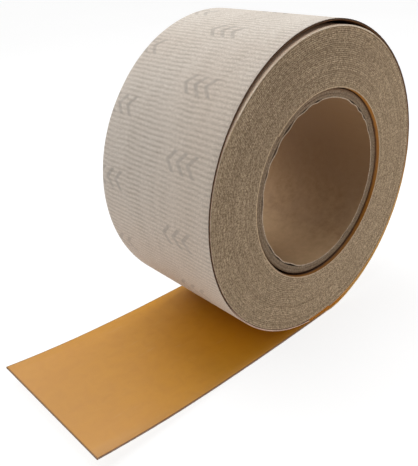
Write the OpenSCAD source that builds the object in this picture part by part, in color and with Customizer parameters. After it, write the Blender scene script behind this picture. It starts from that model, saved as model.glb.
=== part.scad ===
// Roll of stearate-coated abrasive paper on a cardboard core, with its
// outermost turn slack and about 130 mm of strip paid out on the surface below.
// Frame: origin at the middle of the core's bore, Y along the core, Z up.
// The visible face is at -Y and the paid-out tail runs towards -X.

/* [Strip] */
// Width of the abrasive strip
web_width = 70; // [50:1:115]
// Thickness of the strip, backing and coat together
web_thickness = 0.8; // [0.7:0.05:1.0]
// Thickness of the abrasive coat, on the side that faces the core
coat_thickness = 0.15; // [0.1:0.01:0.25]

/* [Core] */
// Inside diameter of the cardboard core, for a 3 inch spindle
core_bore = 76.6; // [76:0.1:77.5]
// Thickness of the liner ply inside the core
liner_ply = 0.5; // [0.3:0.05:0.8]
// Thickness of each of the two board plies
board_ply = 1.45; // [1:0.05:1.6]
// Thickness of the kraft ply outside the core
outer_ply = 0.5; // [0.3:0.05:0.6]
// Distance from the front face of the winding in to the core's end
core_recess = 1.7; // [0:0.1:4]
// Radial play between the core and the innermost turn
core_play = 0.4; // [0.2:0.05:0.6]

/* [Winding] */
// Outer radius of the tightly wound pack
pack_radius = 68.6; // [60:0.1:75]
// Clearance between neighbouring layers of different bodies
layer_gap = 0.15; // [0.1:0.01:0.2]
// Slack between the pack and the outermost turn, above the pack
top_slack = 2.1; // [1.6:0.1:3]
// Slack between the pack and the outermost turn, beside the pack
side_slack = 0.35; // [0.25:0.05:0.6]
// Angle past the lowest point at which the outermost turn is tucked under the pack
tuck_angle = 20; // [10:1:22]

/* [Tail] */
// Length of one bending step of the tail
tail_step = 13.6; // [10:0.1:15]
// Gap left between two bending steps
step_gap = 0.1; // [0.06:0.01:0.2]
// Rise of each bending step over the one before it, in degrees
step_rise = [0, 0.5, 0.5, 0.5, 1, 0.5, 1.5, 1.5, 1.5]; // [0:0.5:3]

/* [Hidden] */
$fn = 180;

core_r0 = core_bore / 2;
core_r1 = core_r0 + liner_ply;
core_r2 = core_r1 + board_ply;
core_r3 = core_r2 + board_ply;
core_r4 = core_r3 + outer_ply;
pack_r0 = core_r4 + core_play;

// Height of the foot's coated side: one tucked layer lies between it and the pack
foot_top = -(pack_radius + web_thickness + 2 * layer_gap);
// The foot is flat from the first bending line to this angle past the lowest point
foot_angle = 6.5;
foot_x = -foot_top * tan(foot_angle);

// Slack of the outermost turn over the pack, against the angle travelled
// from the lowest point up the +X side, over the top and down the -X side
slack = [
    [foot_angle, -foot_top / cos(foot_angle) - pack_radius],
    [12, 1.75], [22, 1.35], [40, 0.55], [60, side_slack], [90, side_slack],
    [115, side_slack + 0.15], [135, 0.9], [155, 0.75 * top_slack], [180, top_slack],
    [205, top_slack], [225, 0.86 * top_slack], [245, 0.57 * top_slack], [265, 0.6],
    [285, 0.25], [310, layer_gap], [340, layer_gap], [382, layer_gap]];

// Cubic curve through the stations above, with slopes taken between neighbours
function slope(i) = i == 0 ? (-foot_top) * tan(foot_angle) / cos(foot_angle) * PI / 180
    : i == len(slack) - 1 ? 0
    : (slack[i + 1][1] - slack[i - 1][1]) / (slack[i + 1][0] - slack[i - 1][0]);
function seg_of(a, i = 0) = i >= len(slack) - 2 || a < slack[i + 1][0] ? i : seg_of(a, i + 1);
function hermite(a, i) = let (h = slack[i + 1][0] - slack[i][0], t = (a - slack[i][0]) / h)
    (1 + 2 * t) * (1 - t) * (1 - t) * slack[i][1] + t * (1 - t) * (1 - t) * h * slope(i)
    + t * t * (3 - 2 * t) * slack[i + 1][1] + t * t * (t - 1) * h * slope(i + 1);
function slack_at(a) = hermite(a, seg_of(a));
function ring_point(a, depth) = let (r = pack_radius + slack_at(a) + depth) [r * sin(a), -r * cos(a)];

turn_end = 360 + tuck_angle;
turn_steps = 170;
function turn_side(depth) = concat(
    [[-tail_step / 2 + step_gap / 2, foot_top - depth], [0, foot_top - depth]],
    [for (i = [0 : turn_steps])
        ring_point(foot_angle + 0.01 + (turn_end - foot_angle - 0.01) * i / turn_steps, depth)]);

// Tail: each step starts at a bending line on the coated side of the one before
function rise(k) = k < 1 ? 0 : step_rise[k - 1] + rise(k - 1);
function bend_line(k) = k < 1 ? [-tail_step / 2, foot_top]
    : bend_line(k - 1) + tail_step * [-cos(rise(k)), sin(rise(k))];

module along_y() { rotate([90, 0, 0]) linear_extrude(height = web_width, center = true) children(); }

module tube(r_in, r_out, front) {
    translate([0, front, 0]) rotate([-90, 0, 0]) difference() {
        cylinder(h = web_width, r = r_out);
        translate([0, 0, -1]) cylinder(h = web_width + 2, r = r_in);
    }
}

module turn_layer(d0, d1) {
    a = turn_side(d0);
    b = turn_side(d1);
    along_y() polygon(concat(a, [for (i = [len(b) - 1 : -1 : 0]) b[i]]));
}

module tail_layer(k, d0, d1) {
    p = bend_line(k - 1);
    translate([p[0], 0, p[1]]) rotate([0, rise(k), 0])
        translate([-tail_step + step_gap / 2, -web_width / 2, -d1])
            cube([tail_step - step_gap, web_width, d1 - d0]);
}

module core_inner_liner() { color([0.50, 0.38, 0.28]) tube(core_r0, core_r1, core_recess - web_width / 2); }
module core_inner_board() { color([0.52, 0.47, 0.42]) tube(core_r1, core_r2, core_recess - web_width / 2); }
module core_outer_board() { color([0.48, 0.43, 0.38]) tube(core_r2, core_r3, core_recess - web_width / 2); }
module core_outer_ply() { color([0.42, 0.32, 0.24]) tube(core_r3, core_r4, core_recess - web_width / 2); }
module wound_pack() { color([0.56, 0.50, 0.42]) tube(pack_r0 + coat_thickness, pack_radius, -web_width / 2); }
module inner_turn_coat() { color([0.66, 0.44, 0.14]) tube(pack_r0, pack_r0 + coat_thickness, -web_width / 2); }
module outer_turn_backing() { color([0.83, 0.79, 0.72]) turn_layer(coat_thickness, web_thickness); }
module outer_turn_coat() { color([0.72, 0.50, 0.20]) turn_layer(0, coat_thickness); }
module tail_backing(k) { color([0.80, 0.76, 0.69]) tail_layer(k, coat_thickness, web_thickness); }
module tail_coat(k) { color([0.78, 0.57, 0.27]) tail_layer(k, 0, coat_thickness); }

core_inner_liner();
core_inner_board();
core_outer_board();
core_outer_ply();
wound_pack();
inner_turn_coat();
outer_turn_backing();
outer_turn_coat();
tail_backing(1);  // tail_1_backing
tail_coat(1);  // tail_1_coat
tail_backing(2);  // tail_2_backing
tail_coat(2);  // tail_2_coat
tail_backing(3);  // tail_3_backing
tail_coat(3);  // tail_3_coat
tail_backing(4);  // tail_4_backing
tail_coat(4);  // tail_4_coat
tail_backing(5);  // tail_5_backing
tail_coat(5);  // tail_5_coat
tail_backing(6);  // tail_6_backing
tail_coat(6);  // tail_6_coat
tail_backing(7);  // tail_7_backing
tail_coat(7);  // tail_7_coat
tail_backing(8);  // tail_8_backing
tail_coat(8);  // tail_8_coat
tail_backing(9);  // tail_9_backing
tail_coat(9);  // tail_9_coat
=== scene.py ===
"""Looks of the abrasive paper roll: strip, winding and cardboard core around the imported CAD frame.

Lengths inside the mesh code are millimetres; every mesh is written out in metres.
"""

import math

import bmesh
import bpy
import numpy as np
from mathutils import Matrix, Vector


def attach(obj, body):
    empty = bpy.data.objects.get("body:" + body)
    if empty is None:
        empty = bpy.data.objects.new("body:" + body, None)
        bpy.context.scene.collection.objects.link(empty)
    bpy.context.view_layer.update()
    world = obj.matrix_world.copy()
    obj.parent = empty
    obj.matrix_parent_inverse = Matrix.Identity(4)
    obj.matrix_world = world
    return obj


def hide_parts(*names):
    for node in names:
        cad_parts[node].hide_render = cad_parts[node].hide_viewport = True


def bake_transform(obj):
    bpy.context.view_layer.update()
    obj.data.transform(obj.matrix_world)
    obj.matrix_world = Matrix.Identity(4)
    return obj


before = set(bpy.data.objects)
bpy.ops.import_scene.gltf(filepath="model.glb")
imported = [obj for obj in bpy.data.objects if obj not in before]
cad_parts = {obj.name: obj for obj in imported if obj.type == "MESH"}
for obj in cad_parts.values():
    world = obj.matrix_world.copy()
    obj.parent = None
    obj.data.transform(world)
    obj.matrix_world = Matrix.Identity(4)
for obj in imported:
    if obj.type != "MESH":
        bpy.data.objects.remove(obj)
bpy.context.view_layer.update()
MM = 0.001
scene = bpy.context.scene

# ------------------------------------------------------------------ camera
CAM_AT = (-195.14, -179.50, 106.79)
CAM_AZ, CAM_EL, CAM_ROLL = math.radians(-41.68), math.radians(23.92), math.radians(-3.02)
CAM_F, CAM_CX, CAM_CY = 590.05, 212.08, 187.81
IMG_W, IMG_H = 418, 466


def make_camera():
    back = Vector((math.sin(CAM_AZ) * math.cos(CAM_EL), -math.cos(CAM_AZ) * math.cos(CAM_EL), math.sin(CAM_EL)))
    right = Vector((0, 0, 1)).cross(back).normalized()
    up = back.cross(right)
    c, s = math.cos(CAM_ROLL), math.sin(CAM_ROLL)
    r2, u2 = c * right + s * up, -s * right + c * up
    data = bpy.data.cameras.new("camera")
    data.sensor_width = 36.0
    data.sensor_fit = "AUTO"
    data.lens = CAM_F * 36.0 / max(IMG_W, IMG_H)
    data.shift_x = (IMG_W / 2 - CAM_CX) / max(IMG_W, IMG_H)
    data.shift_y = (CAM_CY - IMG_H / 2) / max(IMG_W, IMG_H)
    data.clip_start, data.clip_end = 0.01, 50.0
    cam = bpy.data.objects.new("camera", data)
    m = Matrix((r2, u2, back)).transposed().to_4x4()
    m.translation = Vector(CAM_AT) * MM
    cam.matrix_world = m
    scene.collection.objects.link(cam)
    scene.camera = cam


make_camera()


# ------------------------------------------------------------------ node helpers
def lin(r, g, b):
    """An sRGB colour, 0 to 255, as linear RGBA."""
    f = lambda v: v / 255 / 12.92 if v / 255 <= 0.04045 else ((v / 255 + 0.055) / 1.055) ** 2.4
    return (f(r), f(g), f(b), 1.0)


class Mat:
    """A material with one Principled shader, and short calls for the nodes used here."""

    def __init__(self, name):
        self.m = bpy.data.materials.new(name)
        self.m.use_nodes = True
        self.nt = self.m.node_tree
        self.nt.nodes.clear()
        self.out = self.nt.nodes.new("ShaderNodeOutputMaterial")
        self.b = self.nt.nodes.new("ShaderNodeBsdfPrincipled")
        self.nt.links.new(self.b.outputs["BSDF"], self.out.inputs["Surface"])
        self._obj = None

    def link(self, a, b):
        self.nt.links.new(a, b)

    def _in(self, socket, v):
        if isinstance(v, bpy.types.NodeSocket):
            self.link(v, socket)
        else:
            socket.default_value = v

    def obj(self):
        if self._obj is None:
            self._obj = self.nt.nodes.new("ShaderNodeTexCoord").outputs["Object"]
        return self._obj

    def uv(self, name):
        n = self.nt.nodes.new("ShaderNodeUVMap")
        n.uv_map = name
        return n.outputs["UV"]

    def attr(self, name):
        n = self.nt.nodes.new("ShaderNodeAttribute")
        n.attribute_name = name
        return n.outputs["Fac"]

    def scaled(self, vec, x, y, z, rot=(0, 0, 0)):
        n = self.nt.nodes.new("ShaderNodeMapping")
        self.link(vec, n.inputs["Vector"])
        n.inputs["Scale"].default_value = (x, y, z)
        n.inputs["Rotation"].default_value = rot
        return n.outputs["Vector"]

    def noise(self, vec, scale, detail=3.0, rough=0.55, distort=0.0):
        n = self.nt.nodes.new("ShaderNodeTexNoise")
        self.link(vec, n.inputs["Vector"])
        n.inputs["Scale"].default_value = scale
        n.inputs["Detail"].default_value = detail
        n.inputs["Roughness"].default_value = rough
        n.inputs["Distortion"].default_value = distort
        return n.outputs["Fac"]

    def voronoi(self, vec, scale):
        n = self.nt.nodes.new("ShaderNodeTexVoronoi")
        self.link(vec, n.inputs["Vector"])
        n.inputs["Scale"].default_value = scale
        return n.outputs["Distance"]

    def math(self, op, a, b=None, c=None, clamp=False):
        n = self.nt.nodes.new("ShaderNodeMath")
        n.operation = op
        n.use_clamp = clamp
        for k, v in enumerate((a, b, c)):
            if v is not None:
                self._in(n.inputs[k], v)
        return n.outputs[0]

    def range(self, v, lo, hi, to_lo=0.0, to_hi=1.0, smooth=False):
        n = self.nt.nodes.new("ShaderNodeMapRange")
        n.interpolation_type = "SMOOTHSTEP" if smooth else "LINEAR"
        self.link(v, n.inputs["Value"])
        n.inputs["From Min"].default_value = lo
        n.inputs["From Max"].default_value = hi
        n.inputs["To Min"].default_value = to_lo
        n.inputs["To Max"].default_value = to_hi
        return n.outputs["Result"]

    def mix(self, fac, a, b, mode="MIX"):
        n = self.nt.nodes.new("ShaderNodeMix")
        n.data_type = "RGBA"
        n.blend_type = mode
        n.clamp_factor = True
        self._in(n.inputs["Factor"], fac)
        ins = [s for s in n.inputs if s.type == "RGBA"]
        self._in(ins[0], a)
        self._in(ins[1], b)
        return [s for s in n.outputs if s.type == "RGBA"][0]

    def ramp(self, fac, stops):
        n = self.nt.nodes.new("ShaderNodeValToRGB")
        self.link(fac, n.inputs["Fac"])
        e = n.color_ramp.elements
        while len(e) < len(stops):
            e.new(0.5)
        for k, (p, c) in enumerate(stops):
            e[k].position = p
            e[k].color = c
        return n.outputs["Color"]

    def bump(self, height, strength, distance, after=None):
        n = self.nt.nodes.new("ShaderNodeBump")
        n.inputs["Strength"].default_value = strength
        n.inputs["Distance"].default_value = distance
        self.link(height, n.inputs["Height"])
        if after is not None:
            self.link(after, n.inputs["Normal"])
        return n.outputs["Normal"]

    def finish(self, color, rough, normal, **fixed):
        self.link(color, self.b.inputs["Base Color"])
        self._in(self.b.inputs["Roughness"], rough)
        self.link(normal, self.b.inputs["Normal"])
        for k, v in fixed.items():
            self.b.inputs[k.replace("_", " ")].default_value = v
        return self.m


W2 = 35.0
STEP, NSTEP = 13.6, 9
TAIL_LEN = STEP / 2 + NSTEP * STEP


# ------------------------------------------------------------------ materials
def backing_material():
    """Outer side of the strip: off-white paper, ribbed across, faded run-direction chevrons, with painted shade in
    the rib valleys and a painted highlight towards the top of the roll.
    """
    k = Mat("backing_paper")
    uv = k.uv("UVMap")
    broad = k.noise(uv, 0.045, 2.0, 0.5)
    mottle = k.noise(uv, 0.55, 4.0, 0.6)
    fibre = k.noise(k.scaled(uv, 1.0, 0.35, 1.0), 5.0, 4.0, 0.65)
    grain = k.noise(uv, 1.5, 3.0, 0.7)
    streak = k.noise(k.scaled(uv, 1.6, 0.16, 1.0), 1.0, 3.0, 0.6)
    base = k.mix(k.range(broad, 0.3, 0.7), lin(222, 211, 199), lin(230, 221, 210))
    at = k.nt.nodes.new("ShaderNodeSeparateXYZ")
    k.link(k.obj(), at.inputs[0])
    # painted highlight: the backing is paler towards the top of the roll, where the light falls
    base = k.mix(k.range(at.outputs[2], 0.064, 0.0705, 0.0, 0.6), base, lin(240, 236, 228))
    tan = k.math("MULTIPLY", k.range(at.outputs[2], 0.048, 0.064, 0.30, 0.0), k.range(at.outputs[1], -0.020, 0.008, 1.0, 0.0))
    base = k.mix(tan, base, lin(212, 184, 156))
    base = k.mix(k.range(mottle, 0.35, 0.7, 0.0, 0.5), base, lin(198, 183, 168))
    base = k.mix(k.range(grain, 0.42, 0.62, 0.0, 0.62), base, lin(176, 160, 145))
    base = k.mix(k.range(fibre, 0.45, 0.68, 0.0, 0.60), base, lin(244, 236, 226))
    rib = k.attr("rib")
    # painted shade in the rib valleys, weaker low on the roll
    groove_shade = k.math("MULTIPLY", k.range(rib, 0.0, 1.0, 1.0, 0.0), k.range(streak, 0.3, 0.7, 0.35, 0.95))
    groove_shade = k.math("MULTIPLY", groove_shade, k.range(at.outputs[2], -0.058, -0.010, 0.45, 0.80))
    base = k.mix(groove_shade, base, lin(150, 137, 123))
    mark = k.uv("Mark")
    sep = k.nt.nodes.new("ShaderNodeSeparateXYZ")
    k.link(mark, sep.inputs[0])
    du, dv = k.math("ABSOLUTE", sep.outputs[0]), sep.outputs[1]
    p = k.math("ADD", k.math("MULTIPLY", du, 0.9), dv)
    p = k.math("SUBTRACT", p, 2.0)
    inside = k.math("MULTIPLY", k.range(du, 4.1, 4.7, 1.0, 0.0, True), k.range(k.math("ABSOLUTE", p), 8.6, 9.0, 1.0, 0.0, True))
    wave = k.math("ABSOLUTE", k.math("SUBTRACT", k.math("FLOORED_MODULO", k.math("ADD", p, 9.0), 6.0), 2.0))
    stroke = k.range(wave, 0.8, 1.5, 1.0, 0.0, True)
    fade = k.range(k.noise(uv, 0.30, 3.0, 0.6), 0.30, 0.75, 0.35, 1.0)
    ink = k.math("MULTIPLY", k.math("MULTIPLY", inside, stroke), fade)
    ink = k.math("MULTIPLY", ink, k.range(rib, 0.0, 1.0, 0.38, 0.74))
    ink = k.math("MULTIPLY", ink, k.range(grain, 0.38, 0.58, 1.0, 0.55))
    base = k.mix(ink, base, lin(128, 122, 117))
    rough = k.range(mottle, 0.3, 0.7, 0.74, 0.90)
    n = k.bump(fibre, 0.45, 0.00006)
    n = k.bump(grain, 0.40, 0.00012, n)
    return k.finish(base, rough, n, Specular_IOR_Level=0.25)


def coat_material():
    """Abrasive side: satin gold stearate coat with fine grit, soft streaks and a few scuffs, with painted light,
    shade and reflection on the tail and inside the outermost turn.
    """
    k = Mat("stearate_coat")
    uv = k.uv("UVMap")
    broad = k.noise(k.scaled(uv, 0.6, 1.0, 1.0), 0.040, 2.0, 0.5)
    cloud = k.noise(uv, 0.20, 3.0, 0.55, 0.6)
    streak = k.noise(k.scaled(uv, 0.10, 0.9, 1.0, (0, 0, 0.12)), 0.55, 4.0, 0.6)
    grit = k.noise(uv, 6.0, 3.0, 0.7)
    base = k.mix(k.range(broad, 0.3, 0.7), lin(220, 151, 12), lin(227, 159, 22))
    base = k.mix(k.range(cloud, 0.40, 0.72, 0.0, 0.35), base, lin(206, 136, 8))
    base = k.mix(k.range(streak, 0.52, 0.74, 0.0, 0.25), base, lin(224, 164, 58))
    base = k.mix(k.range(grit, 0.50, 0.70, 0.0, 0.30), base, lin(184, 118, 10))
    scuff = k.noise(k.scaled(uv, 0.22, 1.4, 1.0, (0, 0, -0.35)), 0.16, 5.0, 0.62)
    scuff = k.range(scuff, 0.62, 0.72, 0.0, 0.45, True)
    base = k.mix(scuff, base, lin(226, 176, 108))
    sep = k.nt.nodes.new("ShaderNodeSeparateXYZ")
    k.link(uv, sep.inputs[0])
    # painted reflection: paler, duller gold towards the tail's free end
    base = k.mix(k.range(sep.outputs[0], -TAIL_LEN, -42.0, 0.50, 0.0), base, lin(210, 158, 102))
    # painted light: brighter, more golden coat on the tail's front half near the roll
    near = k.math("MULTIPLY", k.range(sep.outputs[0], -62.0, -34.0, 0.0, 0.9), k.range(sep.outputs[1], -10.0, 12.0, 1.0, 0.0))
    base = k.mix(near, base, lin(238, 164, 16))
    # painted shade and reflection of the roll: duller, darker coat on the tail's back half under it
    painted_shade_under_roll = k.math("MULTIPLY", k.range(sep.outputs[0], -52.0, -20.0, 0.0, 0.6), k.range(sep.outputs[1], 10.0, 33.0, 0.0, 1.0))
    base = k.mix(painted_shade_under_roll, base, lin(190, 138, 66))
    margin = k.range(k.math("ABSOLUTE", sep.outputs[1]), W2 - 0.60, W2 - 0.22, 0.0, 0.60, True)
    end = k.range(sep.outputs[0], -TAIL_LEN + 0.2, -TAIL_LEN + 0.6, 0.6, 0.0, True)
    margin = k.math("MULTIPLY", margin, k.math("MAXIMUM", k.range(sep.outputs[0], 0.0, 6.0, 1.0, 0.0, True), k.range(sep.outputs[0], 78.0, 96.0, 0.0, 1.0, True)))
    base = k.mix(k.math("MAXIMUM", margin, end), base, lin(96, 62, 30))
    # painted shade: the coat inside the outermost turn turns dark brown beyond 92 mm along it
    base = k.mix(k.range(sep.outputs[0], 92.0, 150.0, 0.0, 0.90, True), base, lin(52, 26, 16))
    # painted light: the coat inside the outermost turn is paler from 14 to 94 mm along it, where it shows through the
    # gap
    painted_slot_light = k.math("MULTIPLY", k.range(sep.outputs[0], 14.0, 26.0, 0.0, 0.85), k.range(sep.outputs[0], 80.0, 94.0, 1.0, 0.0))
    base = k.mix(painted_slot_light, base, lin(255, 212, 128))
    rough = k.math("ADD", k.range(cloud, 0.3, 0.7, 0.36, 0.46), k.math("MULTIPLY", scuff, 0.2))
    n = k.bump(grit, 0.30, 0.00004)
    n = k.bump(cloud, 0.12, 0.00030, n)
    return k.finish(base, rough, n, Specular_IOR_Level=0.72)


def edge_material(name, light, dark, warm, rough0=0.78, pale=None, gold=None):
    """A knife-cut edge of the strip: short fibres and specks along it; low on the roll it is paler, partly frayed and
    partly a painted highlight, and low on the right its coat side is painted bright gold as painted light.
    """
    k = Mat(name)
    o = k.obj()
    spec = k.noise(o, 1500.0, 3.0, 0.7)
    run = k.noise(o, 260.0, 3.0, 0.6)
    base = k.mix(k.range(spec, 0.38, 0.66), dark, light)
    base = k.mix(k.range(run, 0.42, 0.72, 0.0, 0.55), base, warm)
    if pale is not None:
        sep = k.nt.nodes.new("ShaderNodeSeparateXYZ")
        k.link(o, sep.inputs[0])
        # partly frayed fibres, partly painted highlight: the cut edge is paler low on the roll
        low = k.math("MULTIPLY", k.range(sep.outputs[2], -0.052, -0.030, 1.0, 0.0, True), k.range(sep.outputs[0], 0.004, 0.010, 1.0, 0.0, True))
        base = k.mix(k.math("MULTIPLY", low, k.range(run, 0.30, 0.60, 0.55, 1.0)), base, pale)
        # painted light: low on the right of the roll the cut edge's coat side is painted bright gold, for the lit
        # coat in the gap
        right = k.math("MULTIPLY", k.range(sep.outputs[0], 0.002, 0.014, 0.0, 1.0, True), k.range(sep.outputs[2], -0.022, 0.012, 1.0, 0.0, True))
        right = k.math("MULTIPLY", right, k.range(k.attr("edge_depth"), 0.70, 0.92, 1.0, 0.0, True))
        base = k.mix(right, base, gold)
    n = k.bump(spec, 0.5, 0.00006)
    return k.finish(base, k.range(spec, 0.3, 0.7, rough0, rough0 + 0.14), n, Specular_IOR_Level=0.2)


def pack_edge_material(name, light, dark, warm):
    """Cut edges of the tight turns: olive-tan, grainy, each turn a little different, with painted shade towards the
    left and top of the face.
    """
    k = Mat(name)
    o = k.obj()
    grain = k.noise(o, 1500.0, 3.0, 0.7)
    fine = k.noise(o, 2300.0, 2.0, 0.6)
    cloud = k.noise(o, 55.0, 3.0, 0.55)
    turn = k.attr("turn_tone")
    base = k.mix(k.range(grain, 0.40, 0.60), dark, light)
    base = k.mix(k.range(fine, 0.55, 0.75, 0.0, 0.5), base, warm)
    base = k.mix(k.range(turn, 0.0, 1.0, 0.42, 0.0), base, dark)
    base = k.mix(k.range(cloud, 0.4, 0.75, 0.0, 0.16), base, dark)
    sep = k.nt.nodes.new("ShaderNodeSeparateXYZ")
    k.link(o, sep.inputs[0])
    # painted shade: the face darkens towards the left and top of the roll
    side = k.math("SUBTRACT", k.math("MULTIPLY", sep.outputs[0], 0.85), k.math("MULTIPLY", sep.outputs[2], 0.5))
    base = k.mix(k.range(side, -0.055, 0.030, 0.29, 0.0), base, lin(90, 74, 56))
    n = k.bump(grain, 0.6, 0.00010)
    return k.finish(base, k.range(grain, 0.3, 0.7, 0.80, 0.93), n, Specular_IOR_Level=0.15)


def kraft_material(name, light, dark, warm, scale=90.0, rough0=0.62, painted_shade_tone=None):
    """Smooth kraft paper: cloudy, with short fibres round the core; for the liner, painted shade towards the upper
    right of the bore and painted light along its bottom.
    """
    k = Mat(name)
    o = k.obj()
    cloud = k.noise(o, scale * 3.0, 5.0, 0.68)
    blot = k.noise(o, scale * 0.7, 3.0, 0.5)
    fibre = k.noise(k.scaled(o, 1.0, 0.3, 1.0), 900.0, 4.0, 0.7)
    base = k.mix(k.range(cloud, 0.30, 0.70), dark, light)
    base = k.mix(k.range(blot, 0.42, 0.70, 0.0, 0.55), base, warm)
    base = k.mix(k.range(fibre, 0.52, 0.74, 0.0, 0.40), base, light)
    if painted_shade_tone is not None:
        sep = k.nt.nodes.new("ShaderNodeSeparateXYZ")
        k.link(o, sep.inputs[0])
        # painted shade: the liner darkens towards the upper right of the bore
        up = k.math("ADD", k.math("MULTIPLY", sep.outputs[0], 0.8), sep.outputs[2])
        base = k.mix(k.range(up, -0.030, 0.040, 0.0, 0.85, True), base, painted_shade_tone)
        # painted light: the liner is paler along the bottom of the bore
        base = k.mix(k.range(sep.outputs[2], -0.0385, -0.0335, 0.40, 0.0), base, lin(236, 204, 162))
    n = k.bump(fibre, 0.30, 0.00006)
    n = k.bump(cloud, 0.20, 0.00030, n)
    return k.finish(base, k.range(cloud, 0.3, 0.7, rough0, rough0 + 0.18), n, Specular_IOR_Level=0.3)


def board_material(name, light, dark, warm):
    """Torn and sawn chipboard: layered grey-brown fibres."""
    k = Mat(name)
    o = k.obj()
    fib = k.noise(o, 1300.0, 4.0, 0.75)
    clump = k.noise(o, 420.0, 4.0, 0.6, 0.4)
    base = k.mix(k.range(fib, 0.36, 0.66), dark, light)
    base = k.mix(k.range(clump, 0.42, 0.68, 0.0, 0.6), base, warm)
    n = k.bump(fib, 0.6, 0.00012)
    n = k.bump(clump, 0.5, 0.00030, n)
    return k.finish(base, k.range(clump, 0.3, 0.7, 0.80, 0.94), n, Specular_IOR_Level=0.15)


def inner_coat_material():
    """Coat of the innermost turn, in painted shade: a darker gold than the coat at its cut rim, brown further in
    towards the core.
    """
    k = Mat("inner_turn_coat_shaded")
    o = k.obj()
    sep = k.nt.nodes.new("ShaderNodeSeparateXYZ")
    k.link(o, sep.inputs[0])
    cloud = k.noise(o, 300.0, 3.0, 0.6)
    grit = k.noise(o, 2400.0, 2.0, 0.6)
    y = k.math("ABSOLUTE", sep.outputs[1])
    y = k.math("ADD", y, k.range(cloud, 0.3, 0.7, -0.00018, 0.00018))
    # painted shade: a darker gold than the coat, for the recess by the core
    base = k.mix(k.range(grit, 0.35, 0.7, 0.0, 0.6), lin(184, 118, 30), lin(152, 94, 20))
    # painted shade: brown deeper in, towards the core
    base = k.mix(k.range(y, 0.0327, 0.0342, 1.0, 0.0, True), base, lin(84, 50, 22))
    n = k.bump(grit, 0.3, 0.00004)
    return k.finish(base, k.range(cloud, 0.3, 0.7, 0.42, 0.55), n, Specular_IOR_Level=0.4)


M_BACK = backing_material()
M_COAT = coat_material()
M_COAT_IN_SHADED = inner_coat_material()
M_EDGE = edge_material("strip_cut_edge", lin(104, 78, 60), lin(56, 40, 30), lin(84, 60, 42), 0.78, lin(226, 192, 170), lin(252, 198, 118))
M_TAIL_EDGE = edge_material("tail_cut_edge", lin(186, 160, 146), lin(128, 104, 92), lin(160, 132, 116))
# painted highlight: bright cream for the front rim of the outermost wound turn
M_RIM_HIGHLIGHT = edge_material("winding_rim_highlight", lin(252, 238, 216), lin(224, 200, 174), lin(240, 216, 188))
# painted light: the outer side of the wound turns, paler and warmer than the backing, shows in the gap under the
# outermost turn
M_LIP_LIT = edge_material("winding_outside_lit", lin(255, 230, 204), lin(238, 206, 178), lin(250, 220, 192))
M_RIM_IN = edge_material("inner_turn_rim", lin(222, 196, 164), lin(176, 150, 120), lin(204, 172, 138))
M_COAT_EDGE = edge_material("coat_cut_edge", lin(150, 100, 50), lin(92, 56, 28), lin(120, 70, 30), 0.6)
M_PACK = pack_edge_material("winding_edge", lin(226, 199, 167), lin(142, 120, 94), lin(236, 210, 162))
M_PACK_COAT = pack_edge_material("winding_coat_edge", lin(192, 165, 130), lin(126, 104, 79), lin(184, 150, 100))
M_LINER = kraft_material("liner_kraft", lin(196, 164, 126), lin(166, 133, 96), lin(184, 154, 122), painted_shade_tone=lin(128, 94, 60))
M_LINER_END = board_material("liner_end", lin(232, 212, 188), lin(158, 134, 110), lin(200, 172, 146))
M_BOARD_END = board_material("board_end", lin(168, 146, 122), lin(112, 94, 74), lin(144, 120, 96))
M_BOARD = board_material("board_face", lin(140, 122, 106), lin(100, 84, 70), lin(122, 102, 84))
M_KRAFT = kraft_material("outer_kraft_face", lin(128, 98, 74), lin(88, 62, 44), lin(110, 80, 58), 120.0)
M_KRAFT_END = board_material("outer_kraft_end", lin(150, 124, 100), lin(98, 78, 58), lin(124, 98, 74))


# ------------------------------------------------------------------ geometry of the strip's path
RP, T, G, COAT = 68.6, 0.8, 0.15, 0.15
FT = -(RP + T + 2 * G)
FA = 6.5
TOP = 2.1
SLACK = [
    [FA, -FT / math.cos(math.radians(FA)) - RP],
    [12, 1.95], [22, 1.78], [30, 1.62], [40, 1.35], [50, 1.05], [62, 0.78], [75, 0.60], [90, 0.50],
    [115, 0.44], [135, 0.50], [155, 0.44 * TOP], [180, 0.80 * TOP],
    [205, 0.64 * TOP], [220, 0.38 * TOP], [235, 0.28], [250, 0.09], [270, 0.05],
    [310, 0.04], [340, 0.03], [382, 0.03],
]
RISE = [0, 0.5, 0.5, 0.5, 1, 0.5, 1.5, 1.5, 1.5]


def slack_slope(i):
    if i == 0:
        return -FT * math.tan(math.radians(FA)) / math.cos(math.radians(FA)) * math.pi / 180
    if i == len(SLACK) - 1:
        return 0.0
    return (SLACK[i + 1][1] - SLACK[i - 1][1]) / (SLACK[i + 1][0] - SLACK[i - 1][0])


def slack(a):
    i = 0
    while i < len(SLACK) - 2 and a >= SLACK[i + 1][0]:
        i += 1
    h = SLACK[i + 1][0] - SLACK[i][0]
    t = (a - SLACK[i][0]) / h
    return (
        (1 + 2 * t) * (1 - t) ** 2 * SLACK[i][1] + t * (1 - t) ** 2 * h * slack_slope(i)
        + t * t * (3 - 2 * t) * SLACK[i + 1][1] + t * t * (t - 1) * h * slack_slope(i + 1)
    )


TURN_END = 353.0


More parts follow.
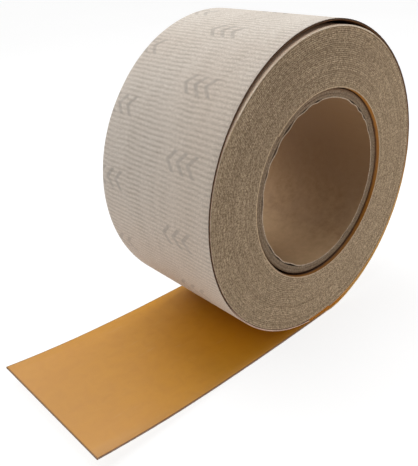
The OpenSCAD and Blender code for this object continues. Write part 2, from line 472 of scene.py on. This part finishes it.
def turn_curve(step):
    """Coated side of the outermost turn, from the flat foot at x = 0 round to the tucked end, at even steps."""
    A = np.linspace(0, TURN_END, 15201)
    R = np.array([-FT / math.cos(math.radians(a)) if a < FA else RP + slack(a) for a in A])
    P = np.stack([R * np.sin(np.radians(A)), -R * np.cos(np.radians(A))], -1)
    s = np.concatenate([[0], np.cumsum(np.linalg.norm(np.diff(P, axis=0), axis=1))])
    n = int(round(s[-1] / step))
    S = np.linspace(0, s[-1], n + 1)
    Q = np.stack([np.interp(S, s, P[:, k]) for k in (0, 1)], -1)
    D = np.gradient(Q, axis=0)
    for _ in range(6):
        D[1:-1] = (D[:-2] + 2 * D[1:-1] + D[2:]) / 4
    D /= np.linalg.norm(D, axis=1)[:, None]
    return S, np.interp(S, s, A), Q, np.stack([D[:, 1], -D[:, 0]], -1)


_mid = np.array([0, STEP / 2] + [STEP * (k + 1) for k in range(NSTEP)] + [TAIL_LEN])
_slope = np.array([0, 0] + list(np.cumsum(RISE)) + [np.cumsum(RISE)[-1] + 0.8])
_fine = np.linspace(0, TAIL_LEN, 5169)
_ang = np.radians(np.interp(_fine, _mid, _slope))
_tx = -np.concatenate([[0], np.cumsum(np.cos((_ang[1:] + _ang[:-1]) / 2) * np.diff(_fine))])
_tz = FT + np.concatenate([[0], np.cumsum(np.sin((_ang[1:] + _ang[:-1]) / 2) * np.diff(_fine))])


def tail_curve(L):
    """Coated side of the tail, and its downward normal, at arc lengths L from the foot at x = 0."""
    a = np.interp(L, _fine, _ang)
    return np.stack([np.interp(L, _fine, _tx), np.interp(L, _fine, _tz)], -1), np.stack([-np.sin(a), -np.cos(a)], -1)


def wander(n, knots, seed, wrap=False):
    """Smooth noise, -1 to 1, with that many knots over n samples."""
    r = np.random.default_rng(seed).uniform(-1, 1, knots + 1)
    if wrap:
        r[-1] = r[0]
    x = np.linspace(0, knots, n)
    i = np.minimum(x.astype(int), knots - 1)
    f = x - i
    f = f * f * (3 - 2 * f)
    return r[i] * (1 - f) + r[i + 1] * f


_rib_seed = np.random.default_rng(11)
_rib_phase = _rib_seed.uniform(-1, 1, (64, 24))
_rib_amp = _rib_seed.uniform(0.35, 1.0, (64, 24))


def _grid(table, s, y):
    """Bilinear, smooth lookup of a noise table over the strip: 20 mm along, 3.2 mm across."""
    u = (s + 200) / 20.0 % (table.shape[0] - 1)
    v = np.clip((y + 36) / 3.2, 0, table.shape[1] - 1.001)
    i, j = u.astype(int), v.astype(int)
    fu, fv = u - i, v - j
    fu, fv = fu * fu * (3 - 2 * fu), fv * fv * (3 - 2 * fv)
    return (table[i, j] * (1 - fu) + table[i + 1, j] * fu) * (1 - fv) + (table[i, j + 1] * (1 - fu) + table[i + 1, j + 1] * fu) * fv


RIB_PITCH, RIB_DEPTH = 2.1, 0.10


def rib(s, y):
    """Height of the backing's ribs, 0 in a valley to 1 on a rib, at arc length s and across y."""
    ph = 2 * math.pi * (s / RIB_PITCH + 0.17 * _grid(_rib_phase, s, y) + 0.0035 * y)
    h = 0.5 + 0.5 * np.cos(ph)
    return 1 - _grid(_rib_amp, s, y) * (1 - h ** 0.8)


# ------------------------------------------------------------------ mesh helpers
def make_object(name, V, faces, fmat, mats, uv=None, mark=None, attrs=None, sharp=55.0):
    me = bpy.data.meshes.new(name)
    me.from_pydata([tuple(v) for v in np.asarray(V) * MM], [], faces)
    me.update()
    for m in mats:
        me.materials.append(m)
    me.polygons.foreach_set("material_index", np.asarray(fmat, np.int32))
    loops = np.zeros(len(me.loops), np.int32)
    me.loops.foreach_get("vertex_index", loops)
    if uv is not None:
        layer = me.uv_layers.new(name="UVMap")
        layer.data.foreach_set("uv", np.asarray(uv)[loops].astype(np.float32).ravel())
    if mark is not None:
        cents = np.zeros(len(me.polygons) * 3)
        me.polygons.foreach_get("center", cents)
        sizes = np.zeros(len(me.polygons), np.int32)
        me.polygons.foreach_get("loop_total", sizes)
        sv = np.asarray(uv)[loops]
        owner = np.repeat(np.arange(len(sizes)), sizes)
        mean = np.stack([np.bincount(owner, sv[:, k]) / sizes for k in (0, 1)], -1)
        d = (mean[:, None, 0] - mark[None, :, 0]) ** 2 + (0.55 * (mean[:, None, 1] - mark[None, :, 1])) ** 2
        near = mark[np.argmin(d, axis=1)]
        layer = me.uv_layers.new(name="Mark")
        layer.data.foreach_set("uv", (sv - near[owner]).astype(np.float32).ravel())
        me.uv_layers.active = me.uv_layers["UVMap"]
        me.uv_layers["UVMap"].active_render = True
    for key, val in (attrs or {}).items():
        a = me.attributes.new(key, "FLOAT", "POINT")
        a.data.foreach_set("value", np.asarray(val, np.float32))
    bm = bmesh.new()
    bm.from_mesh(me)
    bmesh.ops.recalc_face_normals(bm, faces=bm.faces)
    lim = math.radians(sharp)
    for f in bm.faces:
        f.smooth = True
    for e in bm.edges:
        e.smooth = len(e.link_faces) == 2 and e.calc_face_angle(0.0) < lim
    bm.to_mesh(me)
    bm.free()
    me.update()
    ob = bpy.data.objects.new(name, me)
    scene.collection.objects.link(ob)
    return ob


def strip_mesh(name, P, N, D, Y, segm, mats, s, caps=(0, 0), mark=None, attrs=None):
    """A closed strip: station i, loop point j at P[i] + N[i]*D[i,j] in the xz plane, and Y[i,j] across.
    segm gives the material of each loop segment, j to j+1."""
    n, m = D.shape
    V = np.stack([P[:, None, 0] + N[:, None, 0] * D, Y, P[:, None, 1] + N[:, None, 1] * D], -1).reshape(-1, 3)
    I, J = np.meshgrid(np.arange(n - 1), np.arange(m), indexing="ij")
    J2 = (J + 1) % m
    F = np.stack([I * m + J, I * m + J2, (I + 1) * m + J2, (I + 1) * m + J], -1).reshape(-1, 4)
    segm = np.asarray(segm)
    fm = segm if segm.size == (n - 1) * m else np.tile(segm, n - 1)
    faces = F.tolist() + [list(range(m)), list(range((n - 1) * m, n * m))]
    fmat = fm.tolist() + list(caps)
    uv = np.stack([np.broadcast_to(s[:, None], D.shape), Y + 0 * D], -1).reshape(-1, 2)
    return make_object(name, V, faces, fmat, mats, uv, mark, {k: v.reshape(-1) for k, v in (attrs or {}).items()})


MARK_A = [199, 223.5, 249, 275]
MARK_Y = [1, -9, -15, -14]
LEFT_A = [211.5, 236, 263, 291]
LEFT_Y = [36, 31, 30, 32]
S_T, A_T, P_T, N_T = turn_curve(0.35)


def mark_places():
    """Centres of the faded chevron groups: two staggered columns, about 31 mm apart along the strip."""
    at = lambda a: float(np.interp(a, A_T, S_T))
    out = [(at(a), y) for a, y in zip(MARK_A, MARK_Y)] + [(at(a), y) for a, y in zip(LEFT_A, LEFT_Y)]
    s0, s1 = at(MARK_A[0]), at(MARK_A[-1])
    q0, q1 = at(LEFT_A[0]), at(LEFT_A[-1])
    for k in range(1, 14):
        out += [(s0 - 31 * k, 1 - 1.2 * (k % 5)), (q0 - 31 * k, 35 - 1.2 * (k % 4))]
        out += [(s1 + 31 * k, -13 + 1.5 * (k % 4)), (q1 + 31 * k, 31 + 1.2 * (k % 3))]
    return np.array(out)


MARKS = mark_places()


def cross_section(n, s, d_in, d_out, skew=None, bevel=0.09, rows=28, ribbed=True, seed=3, ends=(-W2, W2)):
    """Loop of a strip layer between two depths, with bevelled outer corners and a cut edge that wanders a little.
    Order: inner front, outer front bevel, across the outer side, outer back bevel, inner back."""
    lo, hi = ends
    ys = np.linspace(lo + bevel, hi - bevel, rows)
    m = rows + 4
    D = np.zeros((n, m))
    Y = np.zeros((n, m))
    jf = 0.035 * wander(n, max(4, n // 5), seed) + 0.045 * wander(n, max(3, n // 60), seed + 1)
    jb = 0.035 * wander(n, max(4, n // 5), seed + 2) + 0.045 * wander(n, max(3, n // 60), seed + 3)
    jf -= abs(jf).max()
    jb -= abs(jb).max()
    Y[:, 0] = lo - jf
    Y[:, 1] = lo - jf
    Y[:, 2:-2] = ys[None]
    Y[:, 2] = lo + bevel - jf
    Y[:, -3] = hi - bevel + jb
    Y[:, -2] = hi + jb
    Y[:, -1] = hi + jb
    D[:, 0] = d_in
    D[:, 1] = d_out - bevel
    D[:, -2] = d_out - bevel
    D[:, -1] = d_in
    D[:, 2:-2] = d_out
    R = np.ones((n, m))
    if ribbed:
        R[:, 2:-2] = rib(s[:, None] + 0 * ys[None], Y[:, 2:-2])
        D[:, 2:-2] -= RIB_DEPTH * (1 - R[:, 2:-2])
    return D, Y, R


# loop segments: 0 front edge, 1 front bevel, 2.. outer side, back bevel, back edge, inner side
def seg_mats(rows, side, edge, inner):
    return [edge, edge] + [side] * (rows - 1) + [edge, edge, inner]


ROWS = 30

# ------------------------------------------------------------------ outermost turn
n = len(S_T)
D, Y, R = cross_section(n, S_T, COAT, T, rows=ROWS, seed=21)
SET_BACK = 0.30 * np.clip((A_T - 100) / 45, 0, 1) * (1 - np.clip((A_T - 235) / 40, 0, 1))
Y[:, :3] += SET_BACK[:, None]
turn_back = strip_mesh("outer_turn_paper", P_T, N_T, D, Y, seg_mats(ROWS, 0, 1, 1), [M_BACK, M_EDGE], S_T, (1, 1), MARKS, {"rib": R, "edge_depth": D / T})
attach(turn_back, "outer_turn")
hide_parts("outer_turn_backing")


def coat_section(n, s, seed, rows=12, ends=(-W2, W2)):
    """The coat's loop: flat coated side at depth 0, the joint with the backing at the coat's depth."""
    bev = 0.03
    ys = np.linspace(ends[0] + bev, ends[1] - bev, rows)
    m = rows + 4
    D, Y = np.zeros((n, m)), np.zeros((n, m))
    jf = 0.035 * wander(n, max(4, n // 5), seed) + 0.045 * wander(n, max(3, n // 60), seed + 1)
    jb = 0.035 * wander(n, max(4, n // 5), seed + 2) + 0.045 * wander(n, max(3, n // 60), seed + 3)
    jf -= abs(jf).max()
    jb -= abs(jb).max()
    Y[:, 0] = Y[:, 1] = ends[0] - jf
    Y[:, 2:-2] = ys[None]
    Y[:, 2] = ends[0] + bev - jf
    Y[:, -3] = ends[1] - bev + jb
    Y[:, -2] = Y[:, -1] = ends[1] + jb
    D[:, 0] = D[:, -1] = COAT
    D[:, 1] = D[:, -2] = bev
    D[:, 2:-2] = 0.0
    return D, Y


D, Y = coat_section(n, S_T, 21)
Y[:, :3] += SET_BACK[:, None]
turn_coat = strip_mesh("outer_turn_grit", P_T, N_T, D, Y, seg_mats(12, 0, 1, 0), [M_COAT, M_COAT_EDGE], S_T, (1, 1))
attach(turn_coat, "outer_turn")
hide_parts("outer_turn_coat")

# ------------------------------------------------------------------ tail, one piece per joint
END_SKEW = 1.4


def tail_piece(k):
    """Paper and coat from the middle of one step to the middle of the next, or to the cut end."""
    L0, L1 = STEP * (k - 1), STEP * k if k < NSTEP else TAIL_LEN
    cnt = int(round((L1 - L0) / 0.34))
    L = np.linspace(L0, L1, cnt + 1)
    P, N = tail_curve(L)
    full = int(round(TAIL_LEN / 0.34))
    D, Y, R = cross_section(cnt + 1, -L, COAT, T, rows=ROWS, seed=40)
    # one cut edge for the whole tail, so that neighbouring pieces meet
    for arr, src in ((Y, 60),):
        jf = 0.030 * np.interp(L, np.linspace(0, TAIL_LEN, 401), wander(401, 120, src)) + 0.05 * np.interp(L, np.linspace(0, TAIL_LEN, 401), wander(401, 9, src + 1))
        jb = 0.030 * np.interp(L, np.linspace(0, TAIL_LEN, 401), wander(401, 120, src + 2)) + 0.05 * np.interp(L, np.linspace(0, TAIL_LEN, 401), wander(401, 9, src + 3))
        jf, jb = jf - 0.08, jb - 0.08
    Y[:, 0] = Y[:, 1] = -W2 - jf
    Y[:, 2] = -W2 - jf + 0.09
    Y[:, -3] = W2 + jb - 0.09
    Y[:, -2] = Y[:, -1] = W2 + jb
    Dc, Yc = coat_section(cnt + 1, -L, 40)
    Yc[:, 0] = Yc[:, 1] = -W2 - jf
    Yc[:, 2] = -W2 - jf + 0.03
    Yc[:, -3] = W2 + jb - 0.03
    Yc[:, -2] = Yc[:, -1] = W2 + jb
    out = []
    for nm, DD, YY, seg, mats, mark, at in (
        (f"tail_{k}_paper", D, Y, seg_mats(ROWS, 0, 1, 1), [M_BACK, M_TAIL_EDGE], MARKS, {"rib": R}),
        (f"tail_{k}_grit", Dc, Yc, seg_mats(12, 0, 1, 0), [M_COAT, M_COAT_EDGE], None, None),
    ):
        ob = strip_mesh(nm, P, N, DD, YY, seg, mats, -L, (1, 1), mark, at)
        if k == NSTEP:
            # the cut across the free end runs slightly out of square
            for v in ob.data.vertices:
                t = min(1.0, max(0.0, (-v.co.x / MM - (-_tx[np.searchsorted(_fine, L0)])) / (L1 - L0)))
                v.co.x -= MM * END_SKEW * t * t * (v.co.y / MM / W2 * 0.5 - 0.5)
        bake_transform(ob)
        out.append(ob)
    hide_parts(f"tail_{k}_backing")
    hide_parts(f"tail_{k}_coat")
    return out


for k in range(1, NSTEP + 1):
    tail_piece(k)

# ------------------------------------------------------------------ wound pack: one long spiral of paper and coat
R0_PACK, PER_TURN = 42.6, 120
TURNS = 31 - 142 / 360
PITCH = (RP - R0_PACK - T) / TURNS
A_END = 366.0


def spiral(step_turns):
    """Inner radius and angle of the strip from the pack's outer end inwards."""
    d = 360.0 * np.arange(0, int(round(TURNS * PER_TURN)) + 1) / PER_TURN
    turn, u = np.floor(d / 360.0), d % 360.0
    q = np.clip((u - 336) / 24, 0, 1)
    bumped = np.where(u < 336, 0.10 * u / 336, 0.10 + (PITCH - 0.10) * q * q * (3 - 2 * q))
    w = 1 - d / (360.0 * TURNS)
    drop = PITCH * turn + w * bumped + (1 - w) * PITCH * u / 360.0
    return A_END + d, RP - T - drop


A_S, R_S = spiral(PER_TURN)
ns = len(A_S)
U_S = np.stack([np.sin(np.radians(A_S)), -np.cos(np.radians(A_S))], -1)
S_S = np.concatenate([[0], np.cumsum(R_S[1:] * np.radians(np.diff(A_S)))]) + S_T[-1]
shift = 0.045 * wander(ns, 62, 71) + 0.025 * wander(ns, 279, 72)
shift_f = shift + 0.018 * wander(ns, ns // 3, 73)
shift_b = shift + 0.018 * wander(ns, ns // 3, 74)
tone = 0.5 + 0.5 * wander(ns, 93, 75)


RIM, PROUD = 0.20, 0.65


def pack_layer(name, d0, d1, bev, mats, seg, rim_highlight=None, inner_face=None, inner_rim=None):
    prof = [(d0 + bev, -1, 0), (d0, -1, bev), (d0, 1, -bev), (d0 + bev, 1, 0), (d1 - bev, 1, 0), (d1, 1, -bev), (d1, -1, bev), (d1 - bev, -1, 0)]
    m = len(prof)
    D = np.tile(np.array([p[0] for p in prof]), (ns, 1))
    Y = np.zeros((ns, m))
    for j, (d, side, off) in enumerate(prof):
        edge = (-W2 + 0.09 + shift_f) if side < 0 else (W2 - 0.09 + shift_b)
        Y[:, j] = edge + off
    P = U_S * R_S[:, None]
    seg = np.tile(np.array(seg), (ns - 1, 1))
    # the outermost turn stands a little proud of the face over the loose part of the roll
    d = 360.0 * np.arange(ns) / PER_TURN
    up, down = np.clip((d - 122) / 40, 0, 1), np.clip((d - 212) / 28, 0, 1)
    loose = up * up * (3 - 2 * up) * (1 - down * down * (3 - 2 * down))
    for j in (0, 1, m - 2, m - 1):
        Y[:, j] -= PROUD * loose
    if rim_highlight is not None:
        rim = RIM * loose
        D[:, 4] -= rim
        D[:, 7] -= rim
        Y[:, 5] -= 0.5 * rim
        Y[:, 6] += 0.5 * rim
        # painted highlight: the outermost turn's outer front bevel takes the bright cream rim, and so does its front
        # edge over the loose part; where the loose part fades in and out, the paler inner-turn rim carries a weaker
        # painted highlight
        seg[: PER_TURN - 3, 6] = rim_highlight
        seg[(loose[:-1] > 0.18) & (loose[:-1] <= 0.62), 7] = inner_rim
        seg[loose[:-1] > 0.62, 7] = rim_highlight
    if inner_face is not None:
        seg[-PER_TURN - 2:, 1] = inner_face
    if inner_rim is not None:
        seg[-PER_TURN:, 0] = inner_rim
        seg[-PER_TURN:, 7] = inner_rim
    ob = strip_mesh(name, P, U_S, D, Y, seg.reshape(-1), mats, S_S, (1, 1), None, {"turn_tone": np.tile(tone[:, None], (1, m))})
    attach(ob, "pack")
    return ob


pack_paper = pack_layer("pack_paper_turns", COAT, T, 0.035, [M_LIP_LIT, M_PACK, M_RIM_HIGHLIGHT, M_RIM_IN], [1, 1, 1, 1, 1, 0, 1, 1], rim_highlight=2, inner_rim=3)
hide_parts("wound_pack")
pack_grit = pack_layer("pack_grit_turns", 0.0, COAT, 0.015, [M_PACK_COAT, M_PACK_COAT, M_COAT_IN_SHADED], [1, 1, 1, 1, 1, 1, 1, 1], inner_face=2)
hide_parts("inner_turn_coat")


# ------------------------------------------------------------------ cardboard core
CORE_Y0, CORE_Y1 = -33.3, 36.7
NA = 720
PHI = np.radians(np.arange(NA) * 360.0 / NA)
SLITS = [(109, 4, 0.42), (96, 3, 0.34), (126, 5, 0.62), (142, 5, 0.60), (157, 3, 0.30), (175, 5, 0.40), (-151, 6, 0.34), (-138, 4, 0.30), (-122, 6, 0.44), (57, 4, 0.34), (46, 3, 0.46), (37, 3, 0.40), (25, 4, 0.34), (-60, 5, 0.25), (-35, 4, 0.22)]


def slit(phi_deg):
    """How far the liner stands off the board at the front end, round the core."""
    out = np.zeros_like(phi_deg)
    for c, w, h in SLITS:
        d = (phi_deg - c + 180) % 360 - 180
        out += 1.5 * h * np.exp(-(d / w) ** 2)
    return out


OPEN = slit(np.degrees(PHI))
OPEN_B = 0.12 + 0.12 * wander(NA, 26, 91, True)


def core_ply(name, node, r0, r1, bev, rows, mats, seed, liner=False, first_board=False):
    """One ply of the core, as a ring with rounded, slightly ragged cut ends."""
    front = CORE_Y0 + 0.05 * wander(NA, 90, seed, True) + 0.06 * wander(NA, 14, seed + 1, True)
    back = CORE_Y1 - 0.06 + 0.04 * wander(NA, 90, seed + 2, True)
    front = front + 0.08
    yin = [0, 0.25, 0.8, 1.8, 3.5, 6.5, 12, 24, 40, 56, 64, 68, 69.4]
    prof = []  # r fraction, kind: distance from the front end, or from the back end, radial inset
    for y in yin:
        prof.append((0.0, y + bev if y < 60 else y - bev))
    ring = [(bev * 0.4, 70.0 - bev * 0.35), (bev, 70.0)]
    th = r1 - r0
    back_pts = ring + [(bev + (th - 2 * bev) * q / rows, 70.0) for q in range(1, rows)] + [(th - bev, 70.0), (th - bev * 0.4, 70.0 - bev * 0.35)]
    front_pts = [(th - bev * 0.4, bev * 0.35), (th - bev, 0.0)] + [(th - bev - (th - 2 * bev) * q / rows, 0.0) for q in range(1, rows)] + [(bev, 0.0), (bev * 0.4, bev * 0.35)]
    loop = [(f, y, 0) for f, y in prof] + [(f, y, 1) for f, y in back_pts] + [(th, 70.0 - bev, 2), (th, 68, 2), (th, 40, 2), (th, 12, 2), (th, 6.5, 2), (th, 3.5, 2), (th, 1.8, 2), (th, 0.8 + bev, 2), (th, bev, 2)] + [(f, y, 1) for f, y in front_pts]
    m = len(loop)
    rr = np.zeros((NA, m))
    yy = np.zeros((NA, m))
    jit = np.random.default_rng(seed + 5)
    rag = jit.uniform(-1, 1, (NA, m))
    for j, (f, y, kind) in enumerate(loop):
        g = y / 70.0
        yb = front + (back - front) * g
        if kind == 1:
            yb = yb + (0.035 if th > 1 else 0.02) * rag[:, j] * (1 if y > 35 else 1)
        depth = y
        fall = np.exp(-depth / 3.2)
        r = r0 + f
        if liner:
            r = r - OPEN * fall * (1.0 if f > 0.25 * th else 0.9) - 0.03 * fall
        elif first_board:
            share = 1 - f / th
            r = r + (0.35 * OPEN * OPEN_B / 0.24) * fall * share
        rr[:, j] = r
        yy[:, j] = yb
    V = np.stack([rr * np.cos(PHI)[:, None], yy, rr * np.sin(PHI)[:, None]], -1).reshape(-1, 3)
    I, J = np.meshgrid(np.arange(NA), np.arange(m), indexing="ij")
    I2, J2 = (I + 1) % NA, (J + 1) % m
    F = np.stack([I * m + J, I * m + J2, I2 * m + J2, I2 * m + J], -1).reshape(-1, 4)
    kinds = []
    for j in range(m):
        a, b = loop[j][2], loop[(j + 1) % m][2]
        kinds.append(1 if 1 in (a, b) else (0 if a == 0 else 2))
    fm = np.tile(kinds, NA)
    ob = make_object(name, V, F.tolist(), fm.tolist(), mats, sharp=70.0)
    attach(ob, "core")
    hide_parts(node)
    return ob


core_ply("core_liner_ply", "core_inner_liner", 38.3, 38.79, 0.10, 2, [M_LINER, M_LINER_END, M_BOARD], 101, liner=True)
core_ply("core_board_ply_inner", "core_inner_board", 38.82, 40.24, 0.14, 5, [M_BOARD, M_BOARD_END, M_BOARD], 111, first_board=True)
core_ply("core_board_ply_outer", "core_outer_board", 40.27, 41.69, 0.14, 5, [M_BOARD, M_BOARD_END, M_BOARD], 121)
core_ply("core_kraft_ply", "core_outer_ply", 41.71, 42.2, 0.10, 2, [M_BOARD, M_KRAFT_END, M_KRAFT], 131)


# ------------------------------------------------------------------ stage and light
def floor_material():
    k = Mat("floor_white")
    o = k.obj()
    base = k.mix(k.range(k.noise(o, 3.0, 2.0), 0.3, 0.7), (0.30, 0.30, 0.30, 1), (0.32, 0.32, 0.32, 1))
    n = k.bump(k.noise(o, 400.0, 2.0), 0.02, 0.0001)
    return k.finish(base, 0.9, n, Specular_IOR_Level=0.0, Emission_Color=(1, 1, 1, 1), Emission_Strength=0.80)


bm = bmesh.new()
bmesh.ops.create_grid(bm, x_segments=8, y_segments=8, size=6.0)
me = bpy.data.meshes.new("floor")
bm.to_mesh(me)
bm.free()
me.materials.append(floor_material())
floor = bpy.data.objects.new("floor", me)
floor.location = (0, 0, (FT - T) * MM - 0.00002)
scene.collection.objects.link(floor)

world = bpy.data.worlds.new("studio")
world.use_nodes = True
scene.world = world
world.node_tree.nodes["Background"].inputs["Color"].default_value = (1.0, 1.0, 1.0, 1.0)
world.node_tree.nodes["Background"].inputs["Strength"].default_value = 0.20


def soft_sun(name, towards, strength, spread_deg, color=(1, 1, 1)):
    """A very wide, soft source from that direction, the same all over the table."""
    d = bpy.data.lights.new(name, "SUN")
    d.energy = strength
    d.angle = math.radians(spread_deg)
    d.color = color
    o = bpy.data.objects.new(name, d)
    o.rotation_euler = Vector(towards).to_track_quat("Z", "Y").to_euler()
    o.location = Vector(towards).normalized() * 2
    scene.collection.objects.link(o)
    return o


def soft_panel(name, at, size, watts):
    """A round diffuser over the table, turned to the roll."""
    d = bpy.data.lights.new(name, "AREA")
    d.shape = "DISK"
    d.size = size
    d.energy = watts
    o = bpy.data.objects.new(name, d)
    o.location = at
    o.rotation_euler = (Vector(at) - Vector((0, 0, -0.02))).to_track_quat("Z", "Y").to_euler()
    scene.collection.objects.link(o)
    return o


soft_sun("sky_high", (-0.332, 0.332, 0.883), 0.70, 50)
soft_sun("sky_back", (0.0, 0.819, 0.574), 0.30, 50)
soft_sun("sky_right", (0.819, 0.0, 0.574), 0.50, 50)
soft_panel("panel_top", (0.1, 0.1, 0.55), 0.5, 1.7)
soft_panel("panel_back", (-0.05, 0.4, 0.45), 0.4, 0.4)

scene.view_settings.view_transform = "Standard"
scene.view_settings.look = "None"
